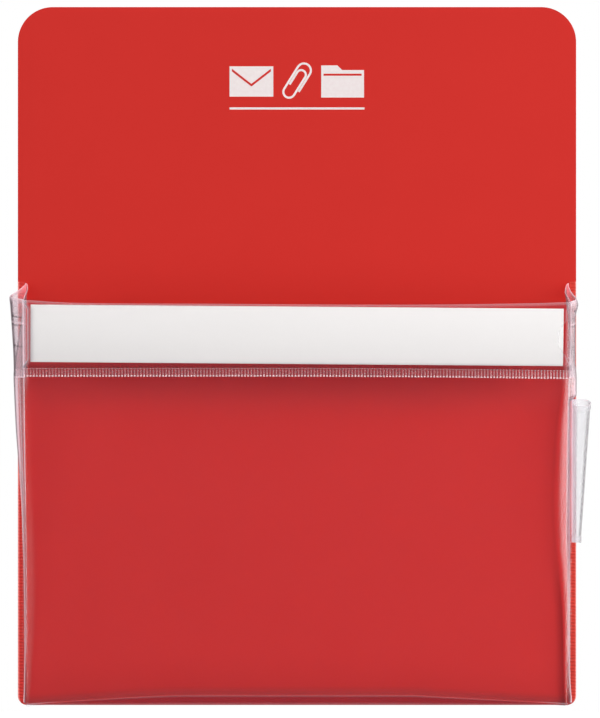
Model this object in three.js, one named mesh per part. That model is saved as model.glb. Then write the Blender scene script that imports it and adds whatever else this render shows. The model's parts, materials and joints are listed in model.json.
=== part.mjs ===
// A magnetic document pocket for a steel wall: a red vinyl backing with a magnet sheet behind it, a clear film
// pocket welded to its lower half, an index card behind a clear strip at the pocket's mouth, and a pen sleeve.
// Millimetres, X to the right, Y into the wall, Z up. The origin is the middle of the magnet's rear face.

import * as THREE from 'three';

// Backing and magnet
const SHEET_WIDTH = 240;
const SHEET_HEIGHT = 300;
const SHEET_THICKNESS = 0.8;
const SHEET_TOP_RADIUS = 15;
const SHEET_BOTTOM_RADIUS = 4;
const MAGNET_THICKNESS = 0.8;
const MAGNET_BORDER = 6;
const MAGNET_CORNER_RADIUS = 8;

// Film, and the room left between neighbouring films
const FILM_THICKNESS = 0.4;
const CLEARANCE = 0.3;

// Welded margins of the pocket film
const MARGIN_WIDTH = 3;
const MARGIN_RISE = 9;
const RIB_PITCH = 1.4;
const RIB_HEIGHT = 0.2;

// Pocket: its front panel leans out from the bottom crease to the mouth
const POCKET_HEIGHT = 168;
const CREASE_LIFT = 2;
const FOLD_DEPTH = 2.6;
const MOUTH_DEPTH = 23;
const GUSSET_FOLD_RISE = 2.5;

// How far each side fold stands out from the straight wall, by height above the bottom crease
const LEFT_GUSSET_BULGE = [[0, 0.8], [45, -0.2], [86, 1.9], [122, 3.8], [139, 4.2], [156, 2], [172, -0.8]];
const RIGHT_GUSSET_BULGE = [[0, 1.4], [42, 0.2], [90, 0.7], [128, 0.8], [139, 1], [156, -0.4], [172, -1.6]];
const LEFT_WING_BULGE = [[136, 5.2], [150, 5.6], [172, 6.6]];
const RIGHT_WING_BULGE = [[136, 2.2], [152, 2.4], [172, 3.6]];

// Label strip along the mouth, with its ribbed weld below it
const LABEL_POCKET_HEIGHT = 28.2;
const LABEL_BAND_HEIGHT = 4;
const END_CUT = 2.1;
const END_CUT_RAMP = 4;
const NOTCH_HEIGHT = 15.3;
const NOTCH_DEPTH = 3.2;

// Index card, which hangs slightly askew in its strip
const CARD_THICKNESS = 0.3;
const CARD_END_GAP = 2.5;
const CARD_LIFT = 1.7;
const CARD_TOP_GAP = 1.9;
const CARD_TILT_DEGREES = 0.45;

// Pen sleeve on the right edge, tapered, with a slanted mouth and a hem at each end
const SLEEVE_DROP = 41.5;
const SLEEVE_LENGTH = 61.5;
const SLEEVE_TOP_WIDTH = 8.5;
const SLEEVE_BOTTOM_WIDTH = 4;
const SLEEVE_TOP_DEPTH = 9;
const SLEEVE_BOTTOM_DEPTH = 7;
const SLEEVE_SIDE_GAP = 1.7;
const SLEEVE_MOUTH_SLANT = 3.2;
const HEM_HEIGHT = 3;
const HEM_STEP = 0.2;

// Fineness of the curved forms
const ARC_STEPS = 12;
const GUSSET_STEPS = 22;
const WING_STEPS = 8;
const FOLD_STEPS = 6;
const SLEEVE_SIDES = 28;
const SLEEVE_SQUARENESS = 2.6;

// Places that follow from the sizes above
const sheetFaceY = -(MAGNET_THICKNESS + SHEET_THICKNESS);
const marginFaceY = sheetFaceY - FILM_THICKNESS - RIB_HEIGHT;
const sheetBottomZ = -SHEET_HEIGHT / 2;
const marginBottomZ = sheetBottomZ + SHEET_BOTTOM_RADIUS;
const creaseZ = sheetBottomZ + MARGIN_WIDTH + CREASE_LIFT;
const mouthZ = creaseZ + POCKET_HEIGHT;
const marginTopZ = mouthZ + MARGIN_RISE;
const gussetX = SHEET_WIDTH / 2 - MARGIN_WIDTH - CLEARANCE - FILM_THICKNESS / 2;
const panelHalfWidth = gussetX - FILM_THICKNESS / 2 - CLEARANCE;
const panelTilt = Math.atan2(MOUTH_DEPTH - FOLD_DEPTH, POCKET_HEIGHT);
const panelLength = Math.hypot(MOUTH_DEPTH - FOLD_DEPTH, POCKET_HEIGHT);
const bandTop = panelLength - LABEL_POCKET_HEIGHT;
const slotDepth = 2 * CLEARANCE + CARD_THICKNESS;
const layerStep = FILM_THICKNESS + CLEARANCE;

// Finishes
const redVinyl = () => new THREE.MeshStandardMaterial({ color: 0xcb322d, roughness: 0.5, metalness: 0 });
const magnetRubber = () => new THREE.MeshStandardMaterial({ color: 0x2b2826, roughness: 0.8, metalness: 0 });
const whiteCard = () => new THREE.MeshStandardMaterial({ color: 0xedebe9, roughness: 0.85, metalness: 0 });
const clearFilm = () => new THREE.MeshStandardMaterial({
  color: 0xdcd8e0,
  roughness: 0.12,
  metalness: 0,
  transparent: true,
  opacity: 0.3,
});

function named(name, geometry, material) {
  const mesh = new THREE.Mesh(geometry, material);
  mesh.name = name;
  return mesh;
}

// A flat piece cut to an outline in X and Z, with its rear face at Y = 0 and its thickness towards the front.
function plate(outline, thickness) {
  const geometry = new THREE.ExtrudeGeometry(outline, {
    depth: thickness,
    bevelEnabled: false,
    curveSegments: ARC_STEPS,
  });
  return geometry.rotateX(Math.PI / 2);
}

function rectangle(left, bottom, right, top) {
  const outline = new THREE.Shape();
  outline.moveTo(left, bottom);
  outline.lineTo(right, bottom);
  outline.lineTo(right, top);
  outline.lineTo(left, top);
  outline.closePath();
  return outline;
}

function roundedSheet(width, height, topRadius, bottomRadius) {
  const x = width / 2;
  const z = height / 2;
  const outline = new THREE.Shape();
  outline.absarc(x - bottomRadius, bottomRadius - z, bottomRadius, -Math.PI / 2, 0);
  outline.absarc(x - topRadius, z - topRadius, topRadius, 0, Math.PI / 2);
  outline.absarc(topRadius - x, z - topRadius, topRadius, Math.PI / 2, Math.PI);
  outline.absarc(bottomRadius - x, bottomRadius - z, bottomRadius, Math.PI, 1.5 * Math.PI);
  outline.closePath();
  return outline;
}

// A pressed strip with a row of ribs across it: its length along local X, its ribs towards local Y.
function ribbedStrip(length, width, thickness) {
  const ribs = Math.max(1, Math.round(length / RIB_PITCH));
  const pitch = length / ribs;
  const profile = new THREE.Shape();
  profile.moveTo(0, 0);
  profile.lineTo(length, 0);
  profile.lineTo(length, thickness);
  for (let rib = ribs - 1; rib >= 0; rib -= 1) {
    profile.lineTo((rib + 0.5) * pitch, thickness + RIB_HEIGHT);
    profile.lineTo(rib * pitch, thickness);
  }
  profile.closePath();
  return new THREE.ExtrudeGeometry(profile, { depth: width, bevelEnabled: false });
}

// Turns local X, Y and Z to the given directions.
function aim(mesh, x, y, z) {
  const basis = new THREE.Matrix4().makeBasis(x, y, z);
  mesh.quaternion.setFromRotationMatrix(basis);
  return mesh;
}

const RIGHT = new THREE.Vector3(1, 0, 0);
const LEFT = new THREE.Vector3(-1, 0, 0);
const FRONT = new THREE.Vector3(0, -1, 0);
const UP = new THREE.Vector3(0, 0, 1);
const DOWN = new THREE.Vector3(0, 0, -1);

// A closed thin wall between two grids of points, rows by columns. A wall that goes round joins its last column
// to its first.
function thinWall(front, back, goesRound = false) {
  const rows = front.length;
  const columns = front[0].length;
  const points = [...front.flat(), ...back.flat()];
  const corner = (side, row, column) => (side * rows + row) * columns + (column % columns);
  const faces = [];
  const quad = (a, b, c, d) => faces.push(a, b, c, a, c, d);
  const steps = goesRound ? columns : columns - 1;
  for (let column = 0; column < steps; column += 1) {
    const next = column + 1;
    for (let row = 0; row + 1 < rows; row += 1) {
      quad(corner(0, row, column), corner(0, row, next), corner(0, row + 1, next), corner(0, row + 1, column));
      quad(corner(1, row, column), corner(1, row + 1, column), corner(1, row + 1, next), corner(1, row, next));
    }
    const top = rows - 1;
    quad(corner(0, 0, column), corner(1, 0, column), corner(1, 0, next), corner(0, 0, next));
    quad(corner(0, top, column), corner(0, top, next), corner(1, top, next), corner(1, top, column));
  }
  for (let row = 0; !goesRound && row + 1 < rows; row += 1) {
    const last = columns - 1;
    quad(corner(0, row, 0), corner(0, row + 1, 0), corner(1, row + 1, 0), corner(1, row, 0));
    quad(corner(0, row, last), corner(1, row, last), corner(1, row + 1, last), corner(0, row + 1, last));
  }
  if (signedVolume(points, faces) < 0) faces.reverse();
  const geometry = new THREE.BufferGeometry().setFromPoints(points);
  geometry.setIndex(faces);
  geometry.computeVertexNormals();
  return geometry;
}

function signedVolume(points, faces) {
  const cross = new THREE.Vector3();
  let sum = 0;
  for (let face = 0; face < faces.length; face += 3) {
    const [a, b, c] = [points[faces[face]], points[faces[face + 1]], points[faces[face + 2]]];
    sum += a.dot(cross.crossVectors(b, c));
  }
  return sum / 6;
}

// The two faces of a film whose middle follows a bent line. The film's thickness lies level, across the line.
function filmFaces(line, thickness) {
  const front = [];
  const back = [];
  for (let index = 0; index < line.length; index += 1) {
    const before = across(line[Math.max(index - 1, 0)], line[Math.max(index, 1)]);
    const after = across(line[Math.min(index, line.length - 2)], line[Math.min(index + 1, line.length - 1)]);
    const mitre = before.clone().add(after).normalize();
    mitre.multiplyScalar(thickness / 2 / mitre.dot(before));
    front.push(line[index].clone().add(mitre));
    back.push(line[index].clone().sub(mitre));
  }
  return [front, back];
}

// The level direction square to the way from one point to the next.
function across(from, to) {
  return new THREE.Vector3(to.y - from.y, from.x - to.x, 0).normalize();
}

function film(lines) {
  const faces = lines.map((line) => filmFaces(line, FILM_THICKNESS));
  return thinWall(faces.map(([front]) => front), faces.map(([, back]) => back));
}

// A smooth value through pairs of height and value.
function along(pairs, height) {
  const last = pairs.length - 1;
  if (height <= pairs[0][0]) return pairs[0][1];
  if (height >= pairs[last][0]) return pairs[last][1];
  const next = pairs.findIndex(([at]) => at > height);
  const [lowHeight, lowValue] = pairs[next - 1];
  const [highHeight, highValue] = pairs[next];
  const share = THREE.MathUtils.smoothstep(height, lowHeight, highHeight);
  return THREE.MathUtils.lerp(lowValue, highValue, share);
}

// The rear face of the front panel at a height.
function panelY(z) {
  return sheetFaceY - FOLD_DEPTH - (z - creaseZ) * Math.tan(panelTilt);
}

// A side wall of film with one fold: from its root at the margin, out to the fold, and on to the panel's crease.
function sideWall(side, bulges, steps, bottomZ, root, front) {
  const tops = { root: marginTopZ, fold: mouthZ + GUSSET_FOLD_RISE, crease: mouthZ };
  const lines = [];
  for (let step = 0; step <= steps; step += 1) {
    const share = step / steps;
    const rootZ = THREE.MathUtils.lerp(bottomZ, tops.root, share);
    const foldZ = THREE.MathUtils.lerp(bottomZ, tops.fold, share);
    const creaseEndZ = THREE.MathUtils.lerp(bottomZ, tops.crease, share);
    const foldX = gussetX + along(bulges, foldZ - creaseZ);
    const foldY = (root.y + panelY(foldZ)) / 2;
    lines.push([
      new THREE.Vector3(side * root.x, root.y, rootZ),
      new THREE.Vector3(side * foldX, foldY, foldZ),
      new THREE.Vector3(side * front.x, panelY(creaseEndZ) - front.ahead, creaseEndZ),
    ]);
  }
  return film(lines);
}

function backing() {
  const group = new THREE.Group();
  const sheet = named('backing_sheet', plate(
    roundedSheet(SHEET_WIDTH, SHEET_HEIGHT, SHEET_TOP_RADIUS, SHEET_BOTTOM_RADIUS),
    SHEET_THICKNESS,
  ), redVinyl());
  sheet.position.y = -MAGNET_THICKNESS;
  const magnetWidth = SHEET_WIDTH - 2 * MAGNET_BORDER;
  const magnetHeight = SHEET_HEIGHT - 2 * MAGNET_BORDER;
  const magnet = named('magnet_sheet', plate(
    roundedSheet(magnetWidth, magnetHeight, MAGNET_CORNER_RADIUS, MAGNET_CORNER_RADIUS),
    MAGNET_THICKNESS,
  ), magnetRubber());
  group.add(sheet, magnet);
  return group;
}

function weldMargins() {
  const group = new THREE.Group();
  const sideLength = marginTopZ - marginBottomZ;
  const places = { left_weld_margin: -SHEET_WIDTH / 2, right_weld_margin: SHEET_WIDTH / 2 - MARGIN_WIDTH };
  for (const [name, x] of Object.entries(places)) {
    const margin = named(name, ribbedStrip(sideLength, MARGIN_WIDTH, FILM_THICKNESS), clearFilm());
    aim(margin, UP, FRONT, RIGHT);
    margin.position.set(x, sheetFaceY, marginBottomZ);
    group.add(margin);
  }
  const bottomLength = SHEET_WIDTH - 2 * SHEET_BOTTOM_RADIUS;
  const bottom = named(
    'bottom_weld_margin',
    ribbedStrip(bottomLength, MARGIN_WIDTH, FILM_THICKNESS),
    clearFilm(),
  );
  aim(bottom, RIGHT, FRONT, DOWN);
  bottom.position.set(-bottomLength / 2, sheetFaceY, sheetBottomZ + MARGIN_WIDTH);
  group.add(bottom);
  return group;
}

function gussets() {
  const group = new THREE.Group();
  const bottomZ = creaseZ + CLEARANCE;
  const root = { x: gussetX, y: sheetFaceY - FILM_THICKNESS - CLEARANCE };
  const front = { x: gussetX, ahead: FILM_THICKNESS };
  const folds = { left_gusset: [-1, LEFT_GUSSET_BULGE], right_gusset: [1, RIGHT_GUSSET_BULGE] };
  for (const [name, [side, bulges]] of Object.entries(folds)) {
    const wall = sideWall(side, bulges, GUSSET_STEPS, bottomZ, root, front);
    group.add(named(name, wall, clearFilm()));
  }
  return group;
}

// The ends of the label strip, a second layer outside each gusset's upper end.
function labelWings() {
  const group = new THREE.Group();
  const bottomZ = mouthZ - (LABEL_POCKET_HEIGHT + LABEL_BAND_HEIGHT) * Math.cos(panelTilt);
  const root = { x: gussetX + layerStep + CLEARANCE, y: marginFaceY - CLEARANCE - CLEARANCE };
  const front = { x: gussetX + layerStep, ahead: FILM_THICKNESS + slotDepth };
  const folds = { left_label_wing: [-1, LEFT_WING_BULGE], right_label_wing: [1, RIGHT_WING_BULGE] };
  for (const [name, [side, bulges]] of Object.entries(folds)) {
    const wall = sideWall(side, bulges, WING_STEPS, bottomZ, root, front);
    group.add(named(name, wall, clearFilm()));
  }
  return group;
}

// The film's turn from the bottom weld up to the crease: a quarter of an ellipse, drawn along X.
function bottomFold() {
  const reach = FOLD_DEPTH + FILM_THICKNESS - CLEARANCE;
  const rise = CREASE_LIFT - 2 * CLEARANCE;
  const innerReach = reach - FILM_THICKNESS;
  const innerRise = rise - FILM_THICKNESS;
  const profile = new THREE.Shape();
  profile.absellipse(0, rise, reach, rise, -Math.PI / 2, 0);
  profile.absellipse(0, rise, innerReach, innerRise, 0, -Math.PI / 2, true);
  profile.closePath();
  const geometry = new THREE.ExtrudeGeometry(profile, {
    depth: 2 * panelHalfWidth,
    bevelEnabled: false,
    curveSegments: FOLD_STEPS,
  });
  const fold = named('bottom_fold', geometry, clearFilm());
  aim(fold, FRONT, UP, LEFT);
  fold.position.set(panelHalfWidth, sheetFaceY - CLEARANCE, creaseZ - CREASE_LIFT + CLEARANCE);
  return fold;
}

// The label strip's flat front: both ends cut back between their corners, with a thumb notch on the right.
function labelWindowOutline() {
  const bottom = bandTop + CLEARANCE;
  const top = panelLength;
  const cutX = panelHalfWidth - END_CUT;
  const middle = (bottom + top) / 2;
  const radius = (NOTCH_HEIGHT * NOTCH_HEIGHT / 4 + NOTCH_DEPTH * NOTCH_DEPTH) / (2 * NOTCH_DEPTH);
  const halfAngle = Math.asin(NOTCH_HEIGHT / 2 / radius);
  const outline = new THREE.Shape();
  outline.moveTo(-panelHalfWidth, bottom);
  outline.lineTo(panelHalfWidth, bottom);
  outline.lineTo(cutX, bottom + END_CUT_RAMP);
  outline.absarc(cutX - NOTCH_DEPTH + radius, middle, radius, Math.PI + halfAngle, Math.PI - halfAngle, true);
  outline.lineTo(cutX, top - END_CUT_RAMP);
  outline.lineTo(panelHalfWidth, top);
  outline.lineTo(-panelHalfWidth, top);
  outline.lineTo(-cutX, top - END_CUT_RAMP);
  outline.lineTo(-cutX, bottom + END_CUT_RAMP);
  outline.closePath();
  return outline;
}

// The leaning front: panel, card and label strip, in a frame that starts at the bottom crease.
function pocketFront() {
  const group = new THREE.Group();
  group.position.set(0, sheetFaceY - FOLD_DEPTH, creaseZ);
  group.rotation.x = panelTilt;

  const panelOutline = rectangle(-panelHalfWidth, 0, panelHalfWidth, panelLength);
  group.add(named('pocket_front_panel', plate(panelOutline, FILM_THICKNESS), clearFilm()));

  const cardHalfLength = panelHalfWidth - CARD_END_GAP;
  const cardHeight = LABEL_POCKET_HEIGHT - CARD_LIFT - CARD_TOP_GAP;
  const cardOutline = rectangle(-cardHalfLength, -cardHeight / 2, cardHalfLength, cardHeight / 2);
  const card = named('label_card', plate(cardOutline, CARD_THICKNESS), whiteCard());
  card.position.set(0, -(FILM_THICKNESS + CLEARANCE), bandTop + CARD_LIFT + cardHeight / 2);
  card.rotation.y = THREE.MathUtils.degToRad(CARD_TILT_DEGREES);
  group.add(card);

  const window = named('label_window', plate(labelWindowOutline(), FILM_THICKNESS), clearFilm());
  window.position.y = -(FILM_THICKNESS + slotDepth);
  group.add(window);

  const bandThickness = slotDepth - CLEARANCE + FILM_THICKNESS;
  const band = named(
    'label_weld_band',
    ribbedStrip(2 * panelHalfWidth, LABEL_BAND_HEIGHT, bandThickness),
    clearFilm(),
  );
  aim(band, RIGHT, FRONT, DOWN);
  band.position.set(-panelHalfWidth, -(FILM_THICKNESS + CLEARANCE), bandTop);
  group.add(band);
  return group;
}

// One ring round the pen sleeve: a squared oval that keeps its inner and rear sides in line.
function sleeveRing(share, inset, topZ, bottomZ) {
  const width = THREE.MathUtils.lerp(SLEEVE_BOTTOM_WIDTH, SLEEVE_TOP_WIDTH, share);
  const depth = THREE.MathUtils.lerp(SLEEVE_BOTTOM_DEPTH, SLEEVE_TOP_DEPTH, share);
  const innerX = gussetX + SLEEVE_SIDE_GAP;
  const rearY = marginFaceY - FILM_THICKNESS - 2 * CLEARANCE;
  const ring = [];
  for (let side = 0; side < SLEEVE_SIDES; side += 1) {
    const angle = (side / SLEEVE_SIDES) * 2 * Math.PI;
    const sideways = rounded(Math.cos(angle)) * (width / 2 - inset);
    const forward = rounded(Math.sin(angle)) * (depth / 2 - inset);
    const slant = SLEEVE_MOUTH_SLANT * share * (forward / depth + 0.5);
    const z = THREE.MathUtils.lerp(bottomZ, topZ, share) - slant;
    ring.push(new THREE.Vector3(innerX + width / 2 + sideways, rearY - depth / 2 - forward, z));
  }
  return ring;
}

function rounded(cosine) {
  return Math.sign(cosine) * Math.abs(cosine) ** (2 / SLEEVE_SQUARENESS);
}

function penSleeve() {
  const group = new THREE.Group();
  const topZ = mouthZ - SLEEVE_DROP;
  const bottomZ = topZ - SLEEVE_LENGTH;
  const hemShare = HEM_HEIGHT / SLEEVE_LENGTH;
  const edgeShare = HEM_STEP / SLEEVE_LENGTH;
  const shares = [0, hemShare, hemShare + edgeShare, 1 - hemShare - edgeShare, 1 - hemShare, 1];
  const hemmed = [true, true, false, false, true, true];
  const outer = shares.map((share, row) => sleeveRing(share, hemmed[row] ? 0 : HEM_STEP, topZ, bottomZ));
  const inner = shares.map((share) => sleeveRing(share, HEM_STEP + FILM_THICKNESS, topZ, bottomZ));
  group.add(named('pen_sleeve', thinWall(outer, inner, true), clearFilm()));

  const tabInnerX = SHEET_WIDTH / 2 - MARGIN_WIDTH + CLEARANCE;
  const tabOutline = rectangle(tabInnerX, bottomZ, SHEET_WIDTH / 2, topZ);
  const tab = named('pen_sleeve_tab', plate(tabOutline, FILM_THICKNESS), clearFilm());
  tab.position.y = marginFaceY - CLEARANCE;
  group.add(tab);
  return group;
}

const documentPocket = new THREE.Group();
documentPocket.add(backing(), weldMargins(), gussets(), labelWings(), bottomFold(), pocketFront(), penSleeve());

export default documentPocket;
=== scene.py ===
"""Looks of a magnetic document pocket: vinyl backing, clear film pocket, label strip and pen sleeve.

The script's own unit is the millimetre, and every mesh is made in metres in the frame of the
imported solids: X to the right, Y into the wall, Z up, with the origin in the middle of the
magnet's rear face.
"""

import json
import logging
import math
from dataclasses import dataclass, replace
from enum import Enum
from functools import partial
from typing import Callable, Sequence

import bmesh
import bpy
from mathutils import Matrix, Vector


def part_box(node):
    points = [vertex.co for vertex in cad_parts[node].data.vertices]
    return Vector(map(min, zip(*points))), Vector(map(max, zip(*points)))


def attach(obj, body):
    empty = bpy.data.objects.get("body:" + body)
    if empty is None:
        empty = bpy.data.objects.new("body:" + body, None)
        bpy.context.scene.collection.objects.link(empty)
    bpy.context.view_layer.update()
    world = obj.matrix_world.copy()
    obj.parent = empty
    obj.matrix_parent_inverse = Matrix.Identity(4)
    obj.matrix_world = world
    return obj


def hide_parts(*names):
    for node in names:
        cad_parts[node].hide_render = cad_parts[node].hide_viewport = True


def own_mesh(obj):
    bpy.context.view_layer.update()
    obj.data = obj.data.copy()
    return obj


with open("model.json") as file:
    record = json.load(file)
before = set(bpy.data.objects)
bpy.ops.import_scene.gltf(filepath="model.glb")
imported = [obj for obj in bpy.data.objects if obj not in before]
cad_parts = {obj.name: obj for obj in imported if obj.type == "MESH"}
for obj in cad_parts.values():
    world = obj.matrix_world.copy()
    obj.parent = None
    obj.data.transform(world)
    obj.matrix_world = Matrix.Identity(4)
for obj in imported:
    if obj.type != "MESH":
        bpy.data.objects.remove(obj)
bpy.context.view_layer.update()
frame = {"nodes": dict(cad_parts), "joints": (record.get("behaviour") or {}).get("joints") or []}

LOG = logging.getLogger("document_pocket")
SURFACE_MAP = "surface"

MM = 0.001
SHARP_ANGLE = math.radians(42.0)
PHOTO_WIDTH = 600
PHOTO_HEIGHT = 718
PIXELS_PER_MM = 2.325
BACKING_CENTRE_PIXEL = (297.0, 356.0)

Pair = tuple[float, float]
Triple = tuple[float, float, float]
Mesh = bmesh.types.BMesh
Node = bpy.types.Node
Outline = list[Vector]
Place = Callable[[float, float], Vector]
Socket = bpy.types.NodeSocket


class Body(Enum):
    """The bodies that pieces ride on."""

    BACKING = "backing_body"
    FRONT = "front_body"
    CARD = "card_body"
    SLEEVE = "sleeve_body"


class Slot(Enum):
    """The record's material slots."""

    VINYL = "red_vinyl"
    MAGNET = "magnet_rubber"
    FILM = "clear_film"
    CARD = "white_card"


class Side(Enum):
    """The two sides of the pocket, by the sign of X."""

    LEFT = -1
    RIGHT = 1

    @property
    def word(self) -> str:
        """The side as it stands in the names of pieces and solids."""
        return self.name.lower()


class Way(Enum):
    """The two ways in which the shares of a piece's own surface run."""

    ACROSS = 0
    UP = 1


def blend(low: float, high: float, share: float) -> float:
    """Returns the value that lies a share of the way from low to high."""
    return low + (high - low) * share


def within(value: float, low: float = 0.0, high: float = 1.0) -> float:
    """Returns the value, held between low and high."""
    return max(low, min(high, value))


def ease(share: float) -> float:
    """Returns a share that starts and ends gently."""
    held = within(share)
    return held * held * (3.0 - 2.0 * held)


def hump(value: float, centre: float, width: float) -> float:
    """Returns a smooth hump of height 1 at centre that fades over width."""
    return math.exp(-(((value - centre) / width) ** 2))


def ribs(turns: float) -> float:
    """Returns a wave that is 0 at whole turns and 1 halfway between them."""
    return 0.5 - 0.5 * math.cos(2 * math.pi * turns)


def metres(x: float, y: float, z: float) -> Vector:
    """Returns a point given in millimetres as a point in metres."""
    return Vector((x, y, z)) * MM


def box(node: str) -> tuple[Vector, Vector]:
    """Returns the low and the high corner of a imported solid, in millimetres."""
    low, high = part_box(node)
    return low / MM, high / MM


@dataclass(frozen=True)
class Profile:
    """A smooth value through pairs of place and value."""

    pairs: tuple[Pair, ...]

    def slope(self, index: int) -> float:
        """Returns the curve's slope at one of its pairs."""
        before = self.pairs[max(index - 1, 0)]
        after = self.pairs[min(index + 1, len(self.pairs) - 1)]
        return (after[1] - before[1]) / (after[0] - before[0])

    def at(self, place: float) -> float:
        """Gives the value at a place.

        Args:
            place: where along the curve, held between its first and last pair.

        Returns:
            The value on a cubic through the pairs.
        """
        last = len(self.pairs) - 1
        held = within(place, self.pairs[0][0], self.pairs[last][0])
        index = 0
        while index < last - 1 and held > self.pairs[index + 1][0]:
            index += 1
        (start, low), (end, high) = self.pairs[index], self.pairs[index + 1]
        span = end - start
        t = (held - start) / span
        value = (2 * t**3 - 3 * t**2 + 1) * low + (3 * t**2 - 2 * t**3) * high
        value += (t**3 - 2 * t**2 + t) * span * self.slope(index)
        return value + (t**3 - t**2) * span * self.slope(index + 1)


@dataclass(frozen=True)
class Grain:
    """A noise: its waves per metre, its octaves, and how many times finer it is along each axis."""

    scale: float
    detail: float
    stretch: Triple = (1.0, 1.0, 1.0)


@dataclass(frozen=True)
class FilmLine:
    """A line on film that is milky, darker or redder than the rest of it.

    Its place and its width are shares of the piece's own surface, and soft is the part of its
    width that fades. Its milk is partly the film's whitening where it is cut, creased or pressed,
    and partly a painted highlight. Its dark share is painted shade. Its red share is a painted
    reflection: the red that the backing throws into the film. Its rim is painted shade that
    shows only where the film is seen edge on. Its reach is the pair of shares between which it
    runs, or nothing where it runs the whole way.
    """

    way: Way
    place: float
    width: float
    milk: float = 0.0
    blush: float = 0.0
    dark: float = 0.0
    rim: float = 0.0
    soft: float = 1.0
    reach: Pair | None = None
    reach_fade: float = 0.05


# A level line lies at a share up a surface, an upright one at a share across it.
level = partial(FilmLine, Way.UP)
upright = partial(FilmLine, Way.ACROSS)


class Bench:
    """The node tree of a material or a world, with short calls that add and link its nodes."""

    def __init__(self, owner: bpy.types.Material | bpy.types.World) -> None:
        """Starts with an empty tree."""
        self.owner = owner
        self.owner.use_nodes = True
        self.tree = owner.node_tree
        self.tree.nodes.clear()

    def add(self, kind: str, **inputs: object) -> Node:
        """Adds a node.

        Args:
            kind: the node's type name without ShaderNode.
            inputs: values or output sockets by input name, with _ for a space.

        Returns:
            The new node.
        """
        node = self.tree.nodes.new("ShaderNode" + kind)
        for name, value in inputs.items():
            self.feed(node.inputs[name.replace("_", " ")], value)
        return node

    def feed(self, socket: Socket, value: object) -> None:
        """Sets a socket to a value, or links an output to it.

        Args:
            socket: the input.
            value: a number, a colour, a vector or an output socket.
        """
        if isinstance(value, Socket):
            self.tree.links.new(value, socket)
        elif isinstance(value, tuple) and len(value) == 3 and socket.type == "RGBA":
            socket.default_value = (*value, 1.0)
        else:
            socket.default_value = value

    def maths(self, operation: str, first: object, second: object = 0.0) -> Socket:
        """Adds a Math node.

        Args:
            operation: the node's operation.
            first: its first value or socket.
            second: its second one, where the operation takes two.

        Returns:
            The node's output.
        """
        node = self.add("Math")
        node.operation = operation
        self.feed(node.inputs[0], first)
        self.feed(node.inputs[1], second)
        return node.outputs[0]

    def raised(self, value: Socket | float, mask: Socket, height: float) -> Socket:
        """Returns a value with a mask times a height added."""
        return self.maths("ADD", value, self.maths("MULTIPLY", mask, height))

    def span(self, value: Socket, low: float, high: float) -> Socket:
        """Returns a value from 0 to 1 spread from low to high."""
        return self.add("MapRange", Value=value, To_Min=low, To_Max=high).outputs[0]

    def fade(self, value: Socket, start: float, end: float) -> Socket:
        """Returns a smooth share that is 0 where a value is at start and 1 where it is at end."""
        node = self.add("MapRange", Value=value, From_Min=start, From_Max=end)
        node.interpolation_type = "SMOOTHSTEP"
        return node.outputs[0]

    def tones(self, share: Socket, first: object, second: object) -> Socket:
        """Mixes two colours.

        Args:
            share: how far from the first colour to the second, from 0 to 1.
            first: a colour or a socket.
            second: a colour or a socket.

        Returns:
            The mixed colour.
        """
        # A Mix node's colours are its inputs 6 and 7 and its output 2.
        node = self.add("Mix")
        node.data_type = "RGBA"
        for index, value in ((0, share), (6, first), (7, second)):
            self.feed(node.inputs[index], value)
        return node.outputs[2]

    def joined(self, kind: str, first: Node, second: Node, **inputs: object) -> Node:
        """Joins two shaders in a node of which they are the last two inputs.

        Args:
            kind: MixShader or AddShader.
            first: the node of the first shader.
            second: the node of the second one.
            inputs: the joining node's other inputs, as for add.

        Returns:
            The joining node.
        """
        node = self.add(kind, **inputs)
        self.feed(node.inputs[-2], first.outputs[0])
        self.feed(node.inputs[-1], second.outputs[0])
        return node

    def noise(self, grain: Grain) -> Socket:
        """Returns a grain's noise on Object coordinates, from 0 to 1."""
        place = self.add("TexCoord").outputs["Object"]
        mapped = self.add("Mapping", Vector=place, Scale=grain.stretch).outputs[0]
        return self.add("TexNoise", Vector=mapped, Scale=grain.scale, Detail=grain.detail).outputs[0]

    def surface(self) -> tuple[Socket, Socket]:
        """Returns the shares across and up a piece's own surface, from 0 to 1."""
        place = self.add("UVMap")
        place.uv_map = SURFACE_MAP
        split = self.add("SeparateXYZ", Vector=place.outputs[0])
        return split.outputs[0], split.outputs[1]

    def line(self, line: FilmLine) -> Socket:
        """Makes the mask of a line on film.

        Args:
            line: where on the piece's own surface it runs.

        Returns:
            A share that is 1 on the line and 0 away from it.
        """
        shares = self.surface()
        offset = self.maths("SUBTRACT", shares[line.way.value], line.place)
        mask = self.fade(self.maths("ABSOLUTE", offset), line.width, line.width * (1 - line.soft))
        if line.reach is None:
            return mask
        along = shares[1 - line.way.value]
        (start, end), fade = line.reach, line.reach_fade
        started = self.fade(along, start - fade, start + fade)
        ended = self.fade(along, end + fade, end - fade)
        return self.maths("MULTIPLY", mask, self.maths("MULTIPLY", started, ended))

    def seen(self) -> Socket:
        """Returns 1 for what the camera sees, also through clear film, and 0 for other light."""
        rays = self.add("LightPath").outputs
        return self.maths("MAXIMUM", rays["Is Camera Ray"], rays["Is Transmission Ray"])

    def shown(self, shader: Node, output: str = "OutputMaterial") -> bpy.types.Material | bpy.types.World:
        """Links the shader to the output and returns the tree's owner."""
        self.add(output, Surface=shader.outputs[0])
        return self.owner


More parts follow.
